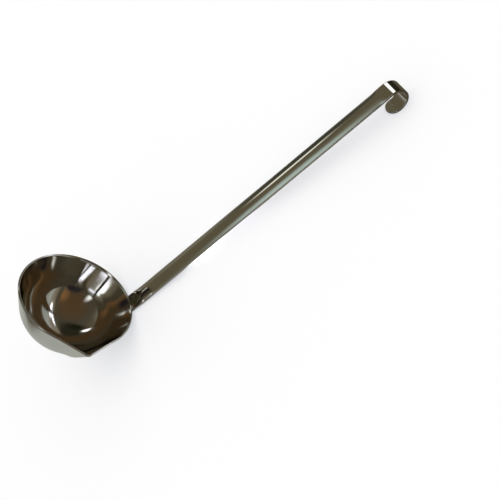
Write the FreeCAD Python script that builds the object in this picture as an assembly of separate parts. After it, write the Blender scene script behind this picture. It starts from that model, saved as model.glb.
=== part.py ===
import FreeCAD, Part
import os
from math import acos, asin, atan2, cos, degrees, hypot, pi, radians, sin, sqrt, tan

# Soup ladle of polished stainless steel: a drawn bowl with a side spout, and a strap handle welded to it.
# The pieces are drawn about the bowl's axis, rim plane at height 0, mouth up and handle towards +X.
# At the end they are laid down together on a table, resting on the bend and the hook of the handle.
# Lengths are in millimetres.

# Bowl
rim_radius = 45.2
bowl_depth = 44.9
bowl_sheet = 1.4
wall_flare = radians(20.8)

# Spout, pressed out of the bowl's wall
spout_rise = 8.3
spout_height = 34.0
spout_turn = radians(92.0)
nose_radius = 3.6
flank_crease = 0.2
crease_growth = 2.0
spout_levels = 5

# Handle strap, crowned towards its front between the foot and the hook, and a little narrower towards the hook
root_width = 15.7
hook_width = 13.3
strap_gauge = 1.6
handle_lean = radians(15.3)
straight_length = 256.5
crown_half_angle = radians(18.0)
root_start = 2.0
root_ramp = 12.0
hook_ramp = 8.0
ramp_steps = 6
hook_flat = 2.0
hook_bore_radius = 8.0
hook_turn = radians(186.0)
foot_length = 27.0

# Spot welds between the foot and the bowl
weld_width = 5.0
weld_depth = 0.7
weld_spread = 6.8
weld_drop = 7.5
mark_depth = 0.15

# The bowl's ball-shaped bottom meets the cone of its wall smoothly, which fixes its centre and its radius
ball_height = (rim_radius * cos(wall_flare) - bowl_depth) / (1 - sin(wall_flare))
ball_radius = bowl_depth + ball_height
seam_height = ball_height - ball_radius * sin(wall_flare)

# Directions along the handle and square to its back, which stands steeper than the bowl's wall
along = FreeCAD.Vector(sin(handle_lean), 0, cos(handle_lean))
outward = FreeCAD.Vector(cos(handle_lean), 0, -sin(handle_lean))
across = FreeCAD.Vector(0, 1, 0)
rim_point = FreeCAD.Vector(rim_radius, 0, 0)
foot_half_angle = root_width / 2 / (rim_radius / cos(wall_flare) + strap_gauge / 2)


def sagitta(width, half_angle):
    """Depth of the middle surface of a strap of this width when it is rolled to this half angle."""
    return width / (2 * half_angle) * (1 - cos(half_angle))


# The strap keeps a straight line of balance, a third of its depth away from its middle
balance_line = strap_gauge / 2 - sagitta(root_width, foot_half_angle) / 3
hook_mid_radius = hook_bore_radius + strap_gauge / 2


def handle_point(distance, depth, side):
    """Point at a distance up the handle from the rim, a depth behind its front line and a side offset."""
    return rim_point + along * distance + outward * depth + across * side


hook_centre = handle_point(straight_length, balance_line + hook_mid_radius, 0)


def closed_face(edges):
    return Part.Face(Part.Wire(edges))


def ball_point(radius, angle):
    """Point of a ball about the bowl's centre, at an angle below the level."""
    return FreeCAD.Vector(radius * cos(angle), 0, ball_height - radius * sin(angle))


def vessel(offset, top):
    """Solid of the bowl's round body, moved out by an offset and cut off level, its seam away from the foot."""
    radius = ball_radius + offset
    edge = FreeCAD.Vector(rim_radius + offset / cos(wall_flare) + top * tan(wall_flare), 0, top)
    middle = FreeCAD.Vector(0, 0, top)
    seam = ball_point(radius, wall_flare)
    belly = ball_point(radius, (wall_flare + pi / 2) / 2)
    bottom = ball_point(radius, pi / 2)
    outline = closed_face([
        Part.makeLine(middle, edge),
        Part.makeLine(edge, seam),
        Part.Arc(seam, belly, bottom).toShape(),
        Part.makeLine(bottom, middle),
    ])
    body = outline.revolve(FreeCAD.Vector(), FreeCAD.Vector(0, 0, 1), 360)
    return body.rotate(FreeCAD.Vector(), FreeCAD.Vector(0, 0, 1), 180)


def wall_radius(height, offset):
    """Radius of the round body at a height, moved out by an offset."""
    radius = ball_radius + offset
    if height > ball_height - radius * sin(wall_flare):
        return rim_radius + offset / cos(wall_flare) + height * tan(wall_flare)
    return sqrt(radius ** 2 - (ball_height - height) ** 2)


def spout_section(height, offset):
    """Level slice of the spout: a round nose between two flanks that leave the wall in a slight crease."""
    fade = -height / spout_height
    wall = wall_radius(height, offset)
    lip = wall + spout_rise * (1 - fade)
    body = wall - flank_crease * (1 + crease_growth * fade)
    nose = nose_radius + offset
    span = lip - nose
    turn = acos((body - nose) / span)

    def place(reach, side):
        forward = FreeCAD.Vector(cos(spout_turn), -sin(spout_turn), 0)
        sideways = FreeCAD.Vector(sin(spout_turn), cos(spout_turn), 0)
        return forward * reach + sideways * side + FreeCAD.Vector(0, 0, height)

    axis = place(0, 0)
    roots = [place(body * cos(turn), side * body * sin(turn)) for side in (-1, 1)]
    tips = [place(span + nose * cos(turn), side * nose * sin(turn)) for side in (-1, 1)]
    return Part.Wire([
        Part.makeLine(axis, roots[0]),
        Part.makeLine(roots[0], tips[0]),
        Part.Arc(tips[0], place(lip, 0), tips[1]).toShape(),
        Part.makeLine(tips[1], roots[1]),
        Part.makeLine(roots[1], axis),
    ])


def spout(offset, top):
    """Solid of the spout, which shrinks into the wall towards its lower end."""
    low = -spout_height * (1 + flank_crease / spout_rise)
    heights = [top + (low - top) * level / spout_levels for level in range(spout_levels + 1)]
    return Part.makeLoft([spout_section(height, offset) for height in heights], True)


def bowl():
    outside = vessel(0, 0).fuse(spout(0, 0))
    inside = vessel(-bowl_sheet, bowl_sheet).fuse(spout(-bowl_sheet, bowl_sheet))
    return outside.cut(inside).removeSplitter()


def strap_section(distance, half_angle):
    """Slice of the strap square to the handle: the half angle is above 0 where its front is hollow, and below
    0 where it is crowned."""
    width = root_width + (hook_width - root_width) * distance / straight_length
    if half_angle == 0:
        front = balance_line - strap_gauge / 2
        back = balance_line + strap_gauge / 2
        half = width / 2
        corners = [(front, -half), (front, half), (back, half), (back, -half)]
        points = [handle_point(distance, depth, side) for depth, side in corners]
        return Part.Wire([Part.makeLine(points[i - 1], points[i]) for i in (1, 2, 3, 0)])
    middle_radius = width / (2 * half_angle)
    centre = balance_line + sagitta(width, half_angle) / 3 - middle_radius

    def point(radius, angle):
        return handle_point(distance, centre + radius * cos(angle), radius * sin(angle))

    front = [point(middle_radius - strap_gauge / 2, turn * half_angle) for turn in (-1, 0, 1)]
    back = [point(middle_radius + strap_gauge / 2, turn * half_angle) for turn in (1, 0, -1)]
    return Part.Wire([
        Part.Arc(*front).toShape(),
        Part.makeLine(front[2], back[0]),
        Part.Arc(*back).toShape(),
        Part.makeLine(back[2], front[0]),
    ])


def rim_section():
    """Level slice of the strap where it leaves the rim: it still hugs the round wall here."""
    half = root_width / 2

    def point(radius, side):
        return FreeCAD.Vector(sqrt(radius ** 2 - side ** 2), side, 0)

    inner = [point(rim_radius, side) for side in (-half, 0, half)]
    outer = [point(rim_radius + strap_gauge / cos(wall_flare), side) for side in (half, 0, -half)]
    return Part.Wire([
        Part.Arc(*inner).toShape(),
        Part.makeLine(inner[2], outer[0]),
        Part.Arc(*outer).toShape(),
        Part.makeLine(outer[2], inner[0]),
    ])


def ease(share):
    """Smooth step from 0 to 1."""
    return share * share * (3 - 2 * share)


def foot():
    """Lower end of the strap, shaped to the outside of the bowl and cut half-round."""
    half = root_width / 2
    round_height = half - foot_length
    shell = vessel(strap_gauge, 0).cut(vessel(0, 0))
    outline = closed_face([
        Part.makeLine(FreeCAD.Vector(0, half, 0), FreeCAD.Vector(0, -half, 0)),
        Part.makeLine(FreeCAD.Vector(0, -half, 0), FreeCAD.Vector(0, -half, round_height)),
        Part.Arc(FreeCAD.Vector(0, -half, round_height), FreeCAD.Vector(0, 0, -foot_length),
                 FreeCAD.Vector(0, half, round_height)).toShape(),
        Part.makeLine(FreeCAD.Vector(0, half, round_height), FreeCAD.Vector(0, half, 0)),
    ])
    return shell.common(outline.extrude(FreeCAD.Vector(2 * rim_radius, 0, 0)))


def hook():
    """Upper end of the strap: a little over half a turn away from the bowl, and a half-round end."""
    start = Part.Face(strap_section(straight_length, 0))
    bend = start.revolve(hook_centre, across, degrees(hook_turn))
    half = hook_width / 2
    radial = along * sin(hook_turn) - outward * cos(hook_turn)
    onward = along * cos(hook_turn) + outward * sin(hook_turn)
    middle = hook_centre + radial * hook_bore_radius
    corners = [middle + across * side for side in (-half, half)]
    tip = closed_face([
        Part.makeLine(corners[1], corners[0]),
        Part.Arc(corners[0], middle + onward * half, corners[1]).toShape(),
    ])
    return bend.fuse(tip.extrude(radial * strap_gauge))


def handle():
    shares = [step / ramp_steps for step in range(ramp_steps + 1)]
    flat_start = straight_length - hook_flat
    crown_end = flat_start - hook_ramp
    growth = crown_half_angle + foot_half_angle
    root = [strap_section(root_start + root_ramp * share, foot_half_angle - growth * ease(share))
            for share in shares]
    fade = [strap_section(crown_end + hook_ramp * share, crown_half_angle * (ease(share) - 1))
            for share in shares]
    return foot().multiFuse([
        Part.makeLoft([rim_section()] + root, True),
        Part.makeLoft([root[-1], fade[0]], True, True),
        Part.makeLoft(fade, True),
        Part.makeLoft([fade[-1], strap_section(straight_length, 0)], True, True),
        hook(),
    ]).removeSplitter()


def weld_places():
    """Centre of each weld on the bowl's wall, with the direction square to the wall there."""
    round_height = root_width / 2 - foot_length
    for height, side in ((-weld_drop, -weld_spread / 2), (-weld_drop, weld_spread / 2), (round_height, 0)):
        radius = wall_radius(height, 0)
        azimuth = asin(side / radius)
        fall = wall_flare if height > seam_height else asin((ball_height - height) / ball_radius)
        centre = FreeCAD.Vector(radius * cos(azimuth), side, height)
        square = FreeCAD.Vector(cos(fall) * cos(azimuth), cos(fall) * sin(azimuth), -sin(fall))
        yield centre, square


def weld_nugget(centre, square):
    """Button of melted steel, half in the strap and half in the bowl's wall."""
    return Part.makeCylinder(weld_width / 2, 2 * weld_depth, centre - square * weld_depth, square)


def weld_mark(centre, square):
    """Shallow round dent that the welding tip leaves on the strap."""
    radius = (weld_width ** 2 / 4 + mark_depth ** 2) / (2 * mark_depth)
    return Part.makeSphere(radius, centre + square * (strap_gauge + radius - mark_depth), square)


nuggets = Part.makeCompound([weld_nugget(*place) for place in weld_places()])
marks = Part.makeCompound([weld_mark(*place) for place in weld_places()])
pieces = {
    "bowl": bowl().cut(nuggets),
    "handle": handle().cut(nuggets).cut(marks),
    "spot_welds": nuggets,
}

# Resting pose: the table touches the back of the strap where it bends at the rim, and the outside of the hook
ball_centre = FreeCAD.Vector(0, 0, ball_height)
bend_point = FreeCAD.Vector(rim_radius + strap_gauge / cos(wall_flare), 0, 0)
hook_radius = hook_bore_radius + strap_gauge
reach = hook_centre - bend_point
down = atan2(reach.z, reach.x) - acos(-hook_radius / hypot(reach.x, reach.z))
table_normal = FreeCAD.Vector(cos(down), 0, sin(down))
table_run = FreeCAD.Vector(-sin(down), 0, cos(down))

# Origin: on the table, under the middle of the ladle's bounding box
first = ball_centre.dot(table_run) - ball_radius
last = hook_centre.dot(table_run) + hook_radius
spout_side = (rim_radius + spout_rise - nose_radius) * sin(spout_turn) + nose_radius
origin_shift = FreeCAD.Vector(-(first + last) / 2, (spout_side - rim_radius) / 2,
                              bend_point.dot(table_normal))

os.makedirs("parts", exist_ok=True)
for name, shape in pieces.items():
    shape.rotate(FreeCAD.Vector(), across, 90 + degrees(down))
    shape.translate(origin_shift)
    shape.exportStep(f"parts/{name}.step")
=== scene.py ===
from math import acos, atan2, cos, hypot, pi, radians, sin, sqrt, tan

import bmesh
import bpy
from mathutils import Matrix, Vector


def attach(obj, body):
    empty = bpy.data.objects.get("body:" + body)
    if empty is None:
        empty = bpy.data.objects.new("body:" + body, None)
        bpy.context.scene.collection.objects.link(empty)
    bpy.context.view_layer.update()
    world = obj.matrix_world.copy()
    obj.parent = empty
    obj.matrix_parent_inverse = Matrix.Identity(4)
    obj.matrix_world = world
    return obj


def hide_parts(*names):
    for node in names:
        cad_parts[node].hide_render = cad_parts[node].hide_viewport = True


# Soup ladle with a side spout, lying on its back. Sizes are in millimetres until a piece is laid down.
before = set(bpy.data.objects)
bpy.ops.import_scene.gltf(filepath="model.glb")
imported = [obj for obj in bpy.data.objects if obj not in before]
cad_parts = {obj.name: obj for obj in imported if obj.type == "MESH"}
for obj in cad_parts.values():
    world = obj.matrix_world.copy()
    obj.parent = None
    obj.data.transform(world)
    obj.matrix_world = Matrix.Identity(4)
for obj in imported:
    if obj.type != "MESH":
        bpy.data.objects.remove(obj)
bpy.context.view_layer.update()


# Bowl: one cup deep-drawn from 1.4 mm stainless sheet, with a ball-shaped bottom and a wall that flares to the rim.
# The rim is trimmed and rounded, and the pouring spout is pressed out of the wall a quarter turn from the handle.
# The drawn cup is polished to a mirror inside and out.
rim_radius = 45.2
bowl_depth = 44.9
bowl_sheet = 1.4
wall_flare = radians(20.8)
spout_rise = 8.3
spout_height = 34.0
spout_turn = radians(92.0)
nose_radius = 3.6
flank_crease = 0.2
crease_growth = 2.0

arc_steps = 40
wall_cuts = 11
rim_steps = 10
round_steps = 384
gather = 0.82

# The bowl is drawn with its rim level at height 0. Laid down, its axis points along the handle and a little up.
lying_turn = radians(70.8207)
lying_shift = Vector((-118.1624, 4.1348, 44.3077))
metres = 0.001

ball_height = (rim_radius * cos(wall_flare) - bowl_depth) / (1 - sin(wall_flare))
ball_radius = bowl_depth + ball_height
ball_centre = Vector((0, 0, ball_height))
off_wall = Vector((cos(wall_flare), 0, -sin(wall_flare)))


def wall_radius(height, offset):
    """Distance of the round wall from the bowl's axis at a height, moved out by an offset."""
    radius = ball_radius + offset
    if height > ball_height - radius * sin(wall_flare):
        return rim_radius + offset / cos(wall_flare) + height * tan(wall_flare)
    return sqrt(max(radius ** 2 - (ball_height - height) ** 2, 0))


def wall_offset(point):
    """How far a point lies outside the bowl's outer face, negative inside the sheet."""
    reach = hypot(point.x, point.y)
    on_cone = (reach - rim_radius - point.z * tan(wall_flare)) * cos(wall_flare)
    if point.z > ball_height - (ball_radius + on_cone) * sin(wall_flare):
        return on_cone
    return (point - ball_centre).length - ball_radius


def spout_reach(height, offset, swing):
    """Distance of the spout's wall from the bowl's axis, at an angle from the middle of the spout."""
    fade = -height / spout_height
    wall = wall_radius(height, offset)
    crease = flank_crease * (1 + crease_growth * fade)
    lip = wall + spout_rise * (1 - fade)
    flank = wall - crease
    if lip <= flank:
        return wall
    nose = nose_radius + offset
    span = lip - nose
    turn = acos((flank - nose) / span)
    swing = abs(swing)
    if swing >= turn:
        return wall
    if swing < atan2(nose * sin(turn), span + nose * cos(turn)):
        reach = span * cos(swing) + sqrt(nose ** 2 - (span * sin(swing)) ** 2)
    else:
        reach = flank / cos(swing - turn)
    soft = max(crease - abs(reach - wall), 0)
    return max(reach, wall) + soft ** 2 / (4 * crease)


def spin_point(mesh, point, centre, axis, angle, steps):
    """Draws an arc from a point and gives the point at its end."""
    made = bmesh.ops.spin(mesh, geom=[point], cent=centre, axis=axis, angle=angle, steps=steps)
    return next(item for item in made["geom_last"] if isinstance(item, bmesh.types.BMVert))


def draw_point(mesh, point, place):
    """Draws a straight line from a point to a place and gives the line and its end."""
    made = bmesh.ops.extrude_vert_indiv(mesh, verts=[point])
    made["verts"][0].co = place
    return made["edges"][0], made["verts"][0]


across = Vector((0, 1, 0))
cup = bmesh.new()
quarter = pi / 2 - wall_flare
edge_middle = Vector((0, 0, -bowl_sheet / 2))
edge_middle.x = rim_radius - bowl_sheet / 2 / cos(wall_flare) + edge_middle.z * tan(wall_flare)
point = cup.verts.new((0, 0, -bowl_depth))
point = spin_point(cup, point, ball_centre, across, -quarter, arc_steps)
outer_wall, point = draw_point(cup, point, edge_middle + off_wall * (bowl_sheet / 2))
point = spin_point(cup, point, edge_middle, across, -pi, rim_steps)
inner_wall, point = draw_point(cup, point, ball_centre + off_wall * (ball_radius - bowl_sheet))
spin_point(cup, point, ball_centre, across, quarter, arc_steps)
bmesh.ops.subdivide_edges(cup, edges=[outer_wall, inner_wall], cuts=wall_cuts)
bmesh.ops.spin(cup, geom=cup.verts[:] + cup.edges[:], cent=(0, 0, 0), axis=(0, 0, 1), angle=2 * pi,
               steps=round_steps, use_merge=True)
bmesh.ops.remove_doubles(cup, verts=cup.verts, dist=1e-4)
bmesh.ops.recalc_face_normals(cup, faces=cup.faces)

# The columns of the mesh are gathered towards the spout, and the spout is pressed out
for vertex in cup.verts:
    spot = vertex.co
    reach = hypot(spot.x, spot.y)
    swing = atan2(spot.y, spot.x) + spout_turn
    swing = atan2(sin(swing), cos(swing))
    swing -= gather * sin(swing)
    offset = wall_offset(spot)
    if spot.z > -spout_height * (1 + flank_crease) and reach > 1:
        reach += spout_reach(spot.z, offset, swing) - wall_radius(spot.z, offset)
    vertex.co = (reach * cos(swing - spout_turn), reach * sin(swing - spout_turn), spot.z)

lie_down = (Matrix.Scale(metres, 4) @ Matrix.Translation(lying_shift)
            @ Matrix.Rotation(lying_turn, 4, "Y"))


def finish_piece(mesh, name):
    """Lays a drawn piece down on the floor and makes it an object."""
    bmesh.ops.transform(mesh, matrix=lie_down, verts=mesh.verts)
    data = bpy.data.meshes.new(name)
    mesh.to_mesh(data)
    mesh.free()
    data.shade_smooth()
    piece = bpy.data.objects.new(name, data)
    bpy.context.scene.collection.objects.link(piece)
    return piece


bowl_piece = finish_piece(cup, "polished_bowl")


def linear(code):
    """Linear colour of an sRGB hex value."""
    parts = [int(code[i:i + 2], 16) / 255 for i in (1, 3, 5)]
    return [part / 12.92 if part <= 0.04045 else ((part + 0.055) / 1.055) ** 2.4 for part in parts] + [1.0]


def add_node(tree, kind, links=(), **settings):
    """Adds a node, sets its sockets and properties by name and links its inputs."""
    node = tree.nodes.new(kind)
    for name, value in settings.items():
        if name in node.inputs:
            node.inputs[name].default_value = value
        else:
            setattr(node, name, value)
    for socket, source in links:
        tree.links.new(source, node.inputs[socket])
    return node


# Polished stainless steel: a clear mirror. The sheet is a little uneven, and use has left faint dull clouds.
# The fine polishing lines are drawn coarser than real ones, so that they show.
mirror_colour = "#D2D2CC"
worn_colour = "#C9C9C2"
line_spacing = 0.6
line_depth = 0.0006
cloud_size = 24.0
uneven_size = 16.0


def polish(steel, place, line_place, clearest, dullest, uneven_depth):
    """Gives a steel its polish, from its clearest to its dullest roughness."""
    tree = steel.node_tree
    shader = tree.nodes["Principled BSDF"]
    shader.inputs["Metallic"].default_value = 1.0
    lines = add_node(tree, "ShaderNodeTexNoise", [("Vector", line_place)], Scale=1.0, Detail=2.0)
    clouds = add_node(tree, "ShaderNodeTexNoise", [("Vector", place)], Scale=1 / cloud_size, Detail=3.0)
    uneven = add_node(tree, "ShaderNodeTexNoise", [("Vector", place)], Scale=1 / uneven_size, Detail=1.0)
    tint = add_node(tree, "ShaderNodeValToRGB", [("Fac", clouds.outputs["Fac"])])
    tint.color_ramp.elements[0].position = 0.35
    tint.color_ramp.elements[0].color = linear(mirror_colour)
    tint.color_ramp.elements[1].position = 0.75
    tint.color_ramp.elements[1].color = linear(worn_colour)
    dull = add_node(tree, "ShaderNodeMath", [(0, clouds.outputs["Fac"]), (1, lines.outputs["Fac"])],
                    operation="MULTIPLY")
    rough = add_node(tree, "ShaderNodeMapRange", [("Value", dull.outputs[0])])
    rough.inputs["From Min"].default_value = 0.15
    rough.inputs["From Max"].default_value = 0.45
    rough.inputs["To Min"].default_value = clearest
    rough.inputs["To Max"].default_value = dullest
    swell = add_node(tree, "ShaderNodeBump", [("Height", uneven.outputs["Fac"])], Strength=1.0,
                     Distance=uneven_depth * metres)
    scratch = add_node(tree, "ShaderNodeBump", [("Height", lines.outputs["Fac"]), ("Normal", swell.outputs[0])],
                       Strength=1.0, Distance=line_depth * metres)
    tree.links.new(tint.outputs["Color"], shader.inputs["Base Color"])
    tree.links.new(rough.outputs["Result"], shader.inputs["Roughness"])
    tree.links.new(scratch.outputs[0], shader.inputs["Normal"])


# Bowl steel: its polishing lines run round the bowl and draw each light out into a streak across them
bowl_steel = bpy.data.materials.new("polished_stainless_bowl")
bowl_steel.use_nodes = True
tree = bowl_steel.node_tree
coords = add_node(tree, "ShaderNodeTexCoord")
upright = add_node(tree, "ShaderNodeMapping", [("Vector", coords.outputs["Object"])], vector_type="TEXTURE",
                   Location=lying_shift * metres, Rotation=(0, lying_turn, 0), Scale=(metres,) * 3)
level = add_node(tree, "ShaderNodeVectorMath", [(0, upright.outputs[0])], operation="MULTIPLY")
level.inputs[1].default_value = (1, 1, 0)
reach = add_node(tree, "ShaderNodeVectorMath", [(0, level.outputs[0])], operation="LENGTH")
around = add_node(tree, "ShaderNodeVectorMath", [(0, level.outputs[0])], operation="NORMALIZE")
height = add_node(tree, "ShaderNodeSeparateXYZ", [("Vector", upright.outputs[0])])
down_wall = add_node(tree, "ShaderNodeMath", [(0, reach.outputs["Value"]), (1, height.outputs["Z"])],
                     operation="SUBTRACT")
ring = add_node(tree, "ShaderNodeMath", [(0, down_wall.outputs[0])], operation="DIVIDE")
ring.inputs[1].default_value = line_spacing
ring_place = add_node(tree, "ShaderNodeCombineXYZ", [("Z", ring.outputs[0])])
line_place = add_node(tree, "ShaderNodeVectorMath", [(0, around.outputs[0]), (1, ring_place.outputs[0])],
                      operation="ADD")
polish(bowl_steel, upright.outputs[0], line_place.outputs[0], clearest=0.05, dullest=0.15, uneven_depth=0.03)
from_rim = add_node(tree, "ShaderNodeVectorMath", [(0, coords.outputs["Object"])], operation="SUBTRACT")
from_rim.inputs[1].default_value = lying_shift * metres
round_bowl = add_node(tree, "ShaderNodeVectorMath", [(0, from_rim.outputs[0])], operation="CROSS_PRODUCT")
round_bowl.inputs[1].default_value = (sin(lying_turn), 0, cos(lying_turn))
shader = tree.nodes["Principled BSDF"]
shader.inputs["Anisotropic"].default_value = 0.8
shader.inputs["Anisotropic Rotation"].default_value = 0.25
tree.links.new(round_bowl.outputs[0], shader.inputs["Tangent"])
bowl_piece.data.materials.append(bowl_steel)
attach(bowl_piece, "root")
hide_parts("bowl")


# Handle: one strap cut from 1.6 mm stainless strip, with rounded ends and ground edges.
# It is pressed to a gentle crown on the side of the bowl's mouth, bent over backwards into a hook,
# and its foot is pressed to the outside of the bowl and spot-welded there.
root_width = 15.7
hook_width = 13.3
strap_gauge = 1.6
handle_lean = radians(15.3)
straight_length = 256.5
crown_half_angle = radians(18.0)
root_start = 2.0
root_ramp = 12.0
hook_ramp = 8.0
hook_flat = 2.0
hook_bore_radius = 8.0
hook_turn = radians(186.0)
foot_length = 27.0
edge_round = 0.45
weld_width = 5.0
weld_spread = 6.8
weld_drop = 7.5
mark_depth = 0.15

round_start = root_width / 2 - foot_length
rim_point = Vector((rim_radius, 0, 0))
up_strap = Vector((sin(handle_lean), 0, cos(handle_lean)))
off_strap = Vector((cos(handle_lean), 0, -sin(handle_lean)))
foot_half_angle = root_width / 2 / (rim_radius / cos(wall_flare) + strap_gauge / 2)
foot_sag = root_width / (2 * foot_half_angle) * (1 - cos(foot_half_angle))
balance_line = strap_gauge / 2 - foot_sag / 3
hook_mid_radius = hook_bore_radius + strap_gauge / 2
hook_length = hook_mid_radius * hook_turn
hook_end = straight_length + hook_length
hook_centre = rim_point + up_strap * straight_length + off_strap * (balance_line + hook_mid_radius)


def ease(share):
    """Smooth step from 0 to 1."""
    share = min(max(share, 0), 1)
    return share * share * (3 - 2 * share)


def foot_spot(station, side, depth):
    """Place on the foot, which lies along the outside of the bowl's wall."""
    height = station if station < 0 else station * cos(wall_flare)
    radius = wall_radius(height, strap_gauge / 2)
    spot = Vector((sqrt(radius ** 2 - side ** 2), side, height))
    if height > ball_height - (ball_radius + strap_gauge / 2) * sin(wall_flare):
        level = Vector((spot.x, spot.y, 0)).normalized()
        return spot + (level * cos(wall_flare) - Vector((0, 0, sin(wall_flare)))) * depth
    return spot + (spot - ball_centre).normalized() * depth


def crown_spot(station, side, depth):
    """Place on the straight part of the strap, hollow in front at the foot and crowned further up."""
    crown_end = straight_length - hook_flat - hook_ramp
    half_angle = foot_half_angle - (crown_half_angle + foot_half_angle) * ease((station - root_start) / root_ramp)
    half_angle *= 1 - ease((station - crown_end) / hook_ramp)
    on_line = rim_point + up_strap * station
    if abs(half_angle) < 1e-4:
        return on_line + off_strap * (balance_line + depth) + across * side
    width = root_width + (hook_width - root_width) * station / straight_length
    radius = width / (2 * half_angle)
    sag = radius * (1 - cos(half_angle))
    angle = side / radius
    fall = balance_line + sag / 3 - radius + (radius + depth) * cos(angle)
    return on_line + off_strap * fall + across * ((radius + depth) * sin(angle))


def hook_spot(station, side, depth):
    """Place on the hook: round the bend, then straight on to the end of the strap."""
    turn = min((station - straight_length) / hook_mid_radius, hook_turn)
    radial = up_strap * sin(turn) - off_strap * cos(turn)
    onward = up_strap * cos(turn) + off_strap * sin(turn)
    spot = hook_centre + radial * (hook_mid_radius - depth) + across * side
    return spot + onward * max(station - hook_end, 0)


def strap_spot(station, side, depth):
    """Place of a point of the flat blank once the strap has its shape."""
    if station > straight_length:
        return hook_spot(station, side, depth)
    if station > root_start:
        return crown_spot(station, side, depth)
    if station < 0:
        return foot_spot(station, side, depth)
    return foot_spot(station, side, depth).lerp(crown_spot(station, side, depth), ease(station / root_start))


# The flat blank: half-round at both ends, a little narrower towards the hook
end_steps = 36
blank = bmesh.new()
upward = Vector((0, 0, 1))
start = blank.verts.new((hook_end, -hook_width / 2, -strap_gauge / 2))
point = spin_point(blank, start, (hook_end, 0, -strap_gauge / 2), upward, pi, end_steps)
for place in ((straight_length, hook_width / 2), (0, root_width / 2), (round_start, root_width / 2)):
    point = draw_point(blank, point, (*place, -strap_gauge / 2))[1]
point = spin_point(blank, point, (round_start, 0, -strap_gauge / 2), upward, pi, end_steps)
for place in ((0, -root_width / 2), (straight_length, -hook_width / 2), start.co.xy):
    point = draw_point(blank, point, (*place, -strap_gauge / 2))[1]
bmesh.ops.remove_doubles(blank, verts=blank.verts, dist=1e-4)
bmesh.ops.edgeloop_fill(blank, edges=blank.edges)
made = bmesh.ops.extrude_face_region(blank, geom=blank.faces[:], use_keep_orig=True)
lifted = [item for item in made["geom"] if isinstance(item, bmesh.types.BMVert)]
bmesh.ops.translate(blank, verts=lifted, vec=upward * strap_gauge)
bmesh.ops.recalc_face_normals(blank, faces=blank.faces)
outline = [edge for edge in blank.edges if abs(edge.verts[0].co.z - edge.verts[1].co.z) < strap_gauge / 2]
bmesh.ops.bevel(blank, geom=outline, offset=edge_round, segments=4, profile=0.5, affect="EDGES", material=-1)

# Cut lines across and along the blank, closer where the strap is bent more
crown_start = root_start + root_ramp
hook_approach = 230
tip_length = 6
runs = ((-foot_length, 0, 0.5), (0, crown_start, 0.75), (crown_start, hook_approach, 6.0),
        (hook_approach, straight_length, 1.0), (straight_length, hook_end, 0.4),
        (hook_end, hook_end + tip_length, 1.0))
for low, high, step in runs:
    count = round((high - low) / step)
    for cut in range(1, count + 1):
        bmesh.ops.bisect_plane(blank, geom=blank.verts[:] + blank.edges[:] + blank.faces[:], dist=1e-3,
                               plane_co=(low + (high - low) * cut / count, 0, 0), plane_no=(1, 0, 0))
lanes = 27
lane_reach = hook_width * 0.47
for lane in range(1, lanes):
    side = lane_reach * (2 * lane / lanes - 1)
    bmesh.ops.bisect_plane(blank, geom=blank.verts[:] + blank.edges[:] + blank.faces[:], dist=1e-3,
                           plane_co=(0, side, 0), plane_no=(0, 1, 0))

# The blank's own map keeps the grain along the strap, round the hook as well
flat_map = blank.loops.layers.uv.new("strap")
for face in blank.faces:
    face.material_index = int(abs(face.normal.z) < 0.5)
    for loop in face.loops:
        loop[flat_map].uv = loop.vert.co.xy

weld_places = [foot_spot(height, side, strap_gauge / 2) for height, side in (
    (-weld_drop, -weld_spread / 2), (-weld_drop, weld_spread / 2), (round_start, 0))]
for vertex in blank.verts:
    station, side, depth = vertex.co
    spot = strap_spot(station, side, depth)
    if depth > strap_gauge / 2 - 1e-3:
        for place in weld_places:
            dent = 1 - ((spot - place).length / (weld_width / 2)) ** 2
            if dent > 0:
                spot = strap_spot(station, side, depth - mark_depth * dent)
    vertex.co = spot
bmesh.ops.recalc_face_normals(blank, faces=blank.faces)

handle_piece = finish_piece(blank, "polished_handle")

# Strap steel: the same mirror, with its fine polishing lines along the strap
grain_length = 45.0
strap_steel = bpy.data.materials.new("polished_stainless_strap")
strap_steel.use_nodes = True
tree = strap_steel.node_tree
flat = add_node(tree, "ShaderNodeUVMap", uv_map="strap")
grain_place = add_node(tree, "ShaderNodeMapping", [("Vector", flat.outputs[0])],
                       Scale=(1 / grain_length, 1 / line_spacing, 1))
polish(strap_steel, flat.outputs[0], grain_place.outputs[0], clearest=0.04, dullest=0.12, uneven_depth=0.015)

# Ground edge: the strap's cut edges are only ground smooth, so they look a little duller than its faces
edge_steel = bpy.data.materials.new("ground_stainless_edge")
edge_steel.use_nodes = True
tree = edge_steel.node_tree
shader = tree.nodes["Principled BSDF"]
shader.inputs["Metallic"].default_value = 1.0
shader.inputs["Base Color"].default_value = linear(worn_colour)
flat = add_node(tree, "ShaderNodeUVMap", uv_map="strap")
grind = add_node(tree, "ShaderNodeTexNoise", [("Vector", flat.outputs[0])], Scale=1 / line_spacing, Detail=2.0)
rough = add_node(tree, "ShaderNodeMapRange", [("Value", grind.outputs["Fac"])])
rough.inputs["To Min"].default_value = 0.15
rough.inputs["To Max"].default_value = 0.30
tree.links.new(rough.outputs["Result"], shader.inputs["Roughness"])
handle_piece.data.materials.append(strap_steel)
handle_piece.data.materials.append(edge_steel)
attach(handle_piece, "root")
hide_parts("handle")


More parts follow.
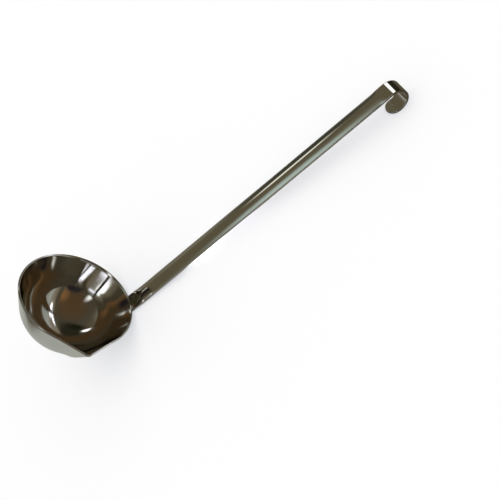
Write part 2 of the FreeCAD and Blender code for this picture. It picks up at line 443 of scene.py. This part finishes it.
# Spot welds: three buttons of melted steel between the strap's foot and the bowl's wall.
# They are inside the joint and show only as round dents on the back of the foot.
# Weld steel: melted and set again, so it is grey, dull and a little grainy.
weld_colour = "#8D867D"
weld_grain = 0.7
weld_steel = bpy.data.materials.new("as_welded_stainless_steel")
weld_steel.use_nodes = True
tree = weld_steel.node_tree
shader = tree.nodes["Principled BSDF"]
shader.inputs["Metallic"].default_value = 1.0
shader.inputs["Base Color"].default_value = linear(weld_colour)
coords = add_node(tree, "ShaderNodeTexCoord")
grains = add_node(tree, "ShaderNodeTexNoise", [("Vector", coords.outputs["Object"])],
                  Scale=1 / (weld_grain * metres))
rough = add_node(tree, "ShaderNodeMapRange", [("Value", grains.outputs["Fac"])])
rough.inputs["To Min"].default_value = 0.35
rough.inputs["To Max"].default_value = 0.60
tree.links.new(rough.outputs["Result"], shader.inputs["Roughness"])
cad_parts["spot_welds"].data.materials.clear()
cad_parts["spot_welds"].data.materials.append(weld_steel)


def soft_spot(tree, place, middle, turned, half_size, soft):
    """Adds a round spot that fades out towards its edge, and gives the output for its share."""
    local = add_node(tree, "ShaderNodeMapping", [("Vector", place)], vector_type="TEXTURE",
                     Location=middle, Rotation=turned, Scale=half_size)
    ball = add_node(tree, "ShaderNodeTexGradient", [("Vector", local.outputs[0])], gradient_type="SPHERICAL")
    fade = add_node(tree, "ShaderNodeMapRange", [("Value", ball.outputs["Fac"])], interpolation_type="SMOOTHSTEP")
    fade.inputs["From Max"].default_value = soft
    return fade.outputs["Result"]


# Floor: plain, matt and pale. Seen directly it is white all over, and it keeps the ladle's shadow.
# In the steel it shows painted light and shade, which only glossy rays see: painted light round the ladle and most on
# the bowl's side, two painted pools of window light that glow, and painted shade farther off.
# Each painted light place has a colour, its middle and its half length and half width in metres, its turn in degrees,
# the share of it that fades, and how much more than the rest it is lit.
floor_half = 2.0  # metres
floor_colour = "#C3C1B8"
# Painted shade of the floor farther off, seen only in the steel's reflections
painted_shade_colour = "#57503F"
painted_light_places = (
    # Painted light on the floor round the ladle, and its lightest part on the bowl's side
    ("#968A79", (0.03, 0.14), (0.42, 0.22), 50, 0.5, 0.0),
    ("#BABCB6", (-0.255, 0.05), (0.225, 0.20), 0, 0.15, 0.0),
    # Painted pools of window light, which glow in the steel's reflections
    ("#FAFAF6", (-0.024, -0.004), (0.026, 0.042), 0, 0.6, 5.5),
    ("#CFC8FF", (0.055, 0.050), (0.115, 0.028), 45, 0.6, 5.0),
)
floor = bmesh.new()
bmesh.ops.create_grid(floor, x_segments=1, y_segments=1, size=floor_half)
floor_data = bpy.data.meshes.new("floor")
floor.to_mesh(floor_data)
floor.free()
floor_piece = bpy.data.objects.new("floor", floor_data)
bpy.context.scene.collection.objects.link(floor_piece)

floor_paint = bpy.data.materials.new("matt_white_floor")
floor_paint.use_nodes = True
tree = floor_paint.node_tree
tree.nodes.remove(tree.nodes["Principled BSDF"])
coords = add_node(tree, "ShaderNodeTexCoord")
path = add_node(tree, "ShaderNodeLightPath")
under = None
lit = None
# Painted light and shade for glossy rays: each place lays its colour over the painted shade and adds its painted glow
for colour, middle, half_size, turned, soft, light in painted_light_places:
    share = soft_spot(tree, coords.outputs["Object"], middle=(*middle, 0), turned=(0, 0, radians(turned)),
                      half_size=(*half_size, 1), soft=soft)
    place = add_node(tree, "ShaderNodeMix", [(0, share)], data_type="RGBA")
    place.inputs[6].default_value = linear(painted_shade_colour)
    place.inputs[7].default_value = linear(colour)
    ray = add_node(tree, "ShaderNodeMath", [(0, share)], operation="MULTIPLY_ADD")
    ray.inputs[1].default_value = light
    ray.inputs[2].default_value = 0.0
    if under:
        tree.links.new(under.outputs[2], place.inputs[6])
        tree.links.new(lit.outputs[0], ray.inputs[2])
    under, lit = place, ray
# Glossy rays see the painted light and shade, every other ray the plain pale floor colour
top = add_node(tree, "ShaderNodeMix", [(0, path.outputs["Is Glossy Ray"]), (7, under.outputs[2])],
               data_type="RGBA")
top.inputs[6].default_value = linear(floor_colour)
seen = add_node(tree, "ShaderNodeMath", operation="ADD", links=[
    (0, path.outputs["Is Camera Ray"]), (1, path.outputs["Is Transmission Ray"])])
# Camera and transmission rays see the floor lifted to white; glossy rays see the painted glow of the pools
shown = add_node(tree, "ShaderNodeMath", operation="MULTIPLY_ADD", links=[
    (0, path.outputs["Is Glossy Ray"]), (1, lit.outputs[0]), (2, seen.outputs[0])])
glow = add_node(tree, "ShaderNodeEmission", [("Strength", shown.outputs[0])],
                Color=[1 - part for part in linear(floor_colour)[:3]] + [1.0])
matt = add_node(tree, "ShaderNodeBsdfDiffuse", [("Color", top.outputs[2])])
both = add_node(tree, "ShaderNodeAddShader", [(0, glow.outputs[0]), (1, matt.outputs[0])])
tree.links.new(both.outputs[0], tree.nodes["Material Output"].inputs["Surface"])
floor_data.materials.append(floor_paint)


# Room: plain white light from all round. The steel mirrors a grey studio that is painted into the sky for glossy
# rays only, a painted reflection: dim and warm, in painted shade, on the side that the bowl's mouth and the handle's
# face look to, with a few painted windows that glow there.
# Each patch of the room has a colour, its strength, its azimuth and elevation, its half width and half height and its
# tilt in degrees, and the share of it that fades.
room_colour = "#A9A9A4"
painted_room_patches = (
    # Painted shade: the dim half of the room, towards the bowl's mouth
    ("#524A3D", 1.0, -20, 45, 100, 80, 0, 0.4),
    # Painted reflection of what the handle's face looks to: a dim wall, paler parts of it, a dark corner in painted
    # shade, painted cool daylight and a thin painted lamp
    ("#6A614D", 1.0, 118, 45, 60, 60, 0, 0.6),
    ("#89877A", 1.0, 120, 74, 28, 22, 0, 1.0),
    ("#898273", 1.0, 114, 22, 16, 14, 0, 1.0),
    ("#45453B", 1.0, 97, 27, 17, 11, 0, 0.6),
    ("#C8D8D3", 1.0, 131, 73, 15, 17, 0, 0.8),
    ("#FFFFF4", 1.3, 102, 40, 8, 4, 0, 0.5),
    # Painted shade: a dark corner beyond the hook
    ("#2D2A1E", 1.0, 40, 14, 34, 30, 0, 0.6),
    ("#1A1B0C", 1.0, 32, 31, 26, 11, 45, 0.8),
    # Painted reflection of warm wood on the spout's side, a lighter part of it and a dark doorway in painted shade
    ("#5C462D", 1.0, -34, 28, 46, 46, 0, 0.6),
    ("#8C6640", 1.0, -50, 4, 22, 18, 0, 0.9),
    ("#262226", 1.0, -76, 14, 14, 24, 0, 0.4),
    # Painted windows, which glow only in the steel's reflections
    ("#FFFFFF", 2.2, 60, 39, 13, 4.5, 40, 0.5),
    ("#FFFFFF", 2.0, -91, 58, 24, 9, 0, 1.0),
)
world = bpy.data.worlds.new("grey_studio_painted_for_reflections")
bpy.context.scene.world = world
world.use_nodes = True
tree = world.node_tree
sky = tree.nodes["Background"]
coords = add_node(tree, "ShaderNodeTexCoord")
path = add_node(tree, "ShaderNodeLightPath")
under = None
for colour, strength, azimuth, elevation, half_width, half_height, tilt, soft in painted_room_patches:
    facing = (Matrix.Rotation(radians(azimuth), 3, "Z") @ Matrix.Rotation(radians(-elevation), 3, "Y")
              @ Matrix.Rotation(radians(tilt), 3, "X"))
    share = soft_spot(tree, coords.outputs["Generated"], middle=facing @ Vector((1, 0, 0)), turned=facing.to_euler(),
                      half_size=(1, radians(half_width), radians(half_height)), soft=soft)
    patch = add_node(tree, "ShaderNodeMix", [(0, share)], data_type="RGBA")
    patch.inputs[7].default_value = [part * strength for part in linear(colour)]
    if under:
        tree.links.new(under.outputs[2], patch.inputs[6])
    else:
        patch.inputs[6].default_value = linear(room_colour)
    under = patch
# Glossy rays see the painted room; every other ray sees plain white light
mirrored = add_node(tree, "ShaderNodeMix", [(0, path.outputs["Is Glossy Ray"]), (7, under.outputs[2])],
                    data_type="RGBA")
mirrored.inputs[6].default_value = (1, 1, 1, 1)
tree.links.new(mirrored.outputs[2], sky.inputs["Color"])


# Camera: above the floor, on the spout's side of the handle, as in the photograph.
# The turn and the shift take a place on the ladle to the camera's right, down and forward axes.
image_width = 500
focal = 490.0
sensor = 36.0
turn_vector = Vector((2.4621, -0.7017, -0.5419))
shift = Vector((-15.1473, -11.9437, 382.7844))
turn = Matrix.Rotation(turn_vector.length, 3, turn_vector)
camera_data = bpy.data.cameras.new("camera")
camera_data.sensor_width = sensor
camera_data.lens = focal / image_width * sensor
camera = bpy.data.objects.new("camera", camera_data)
bpy.context.scene.collection.objects.link(camera)
axes = Matrix((turn[0], -turn[1], -turn[2])).transposed()
camera.matrix_world = Matrix.Translation(turn.transposed() @ shift * -metres) @ axes.to_4x4()
bpy.context.scene.camera = camera

bpy.context.scene.view_settings.view_transform = "Standard"
bpy.context.view_layer.update()
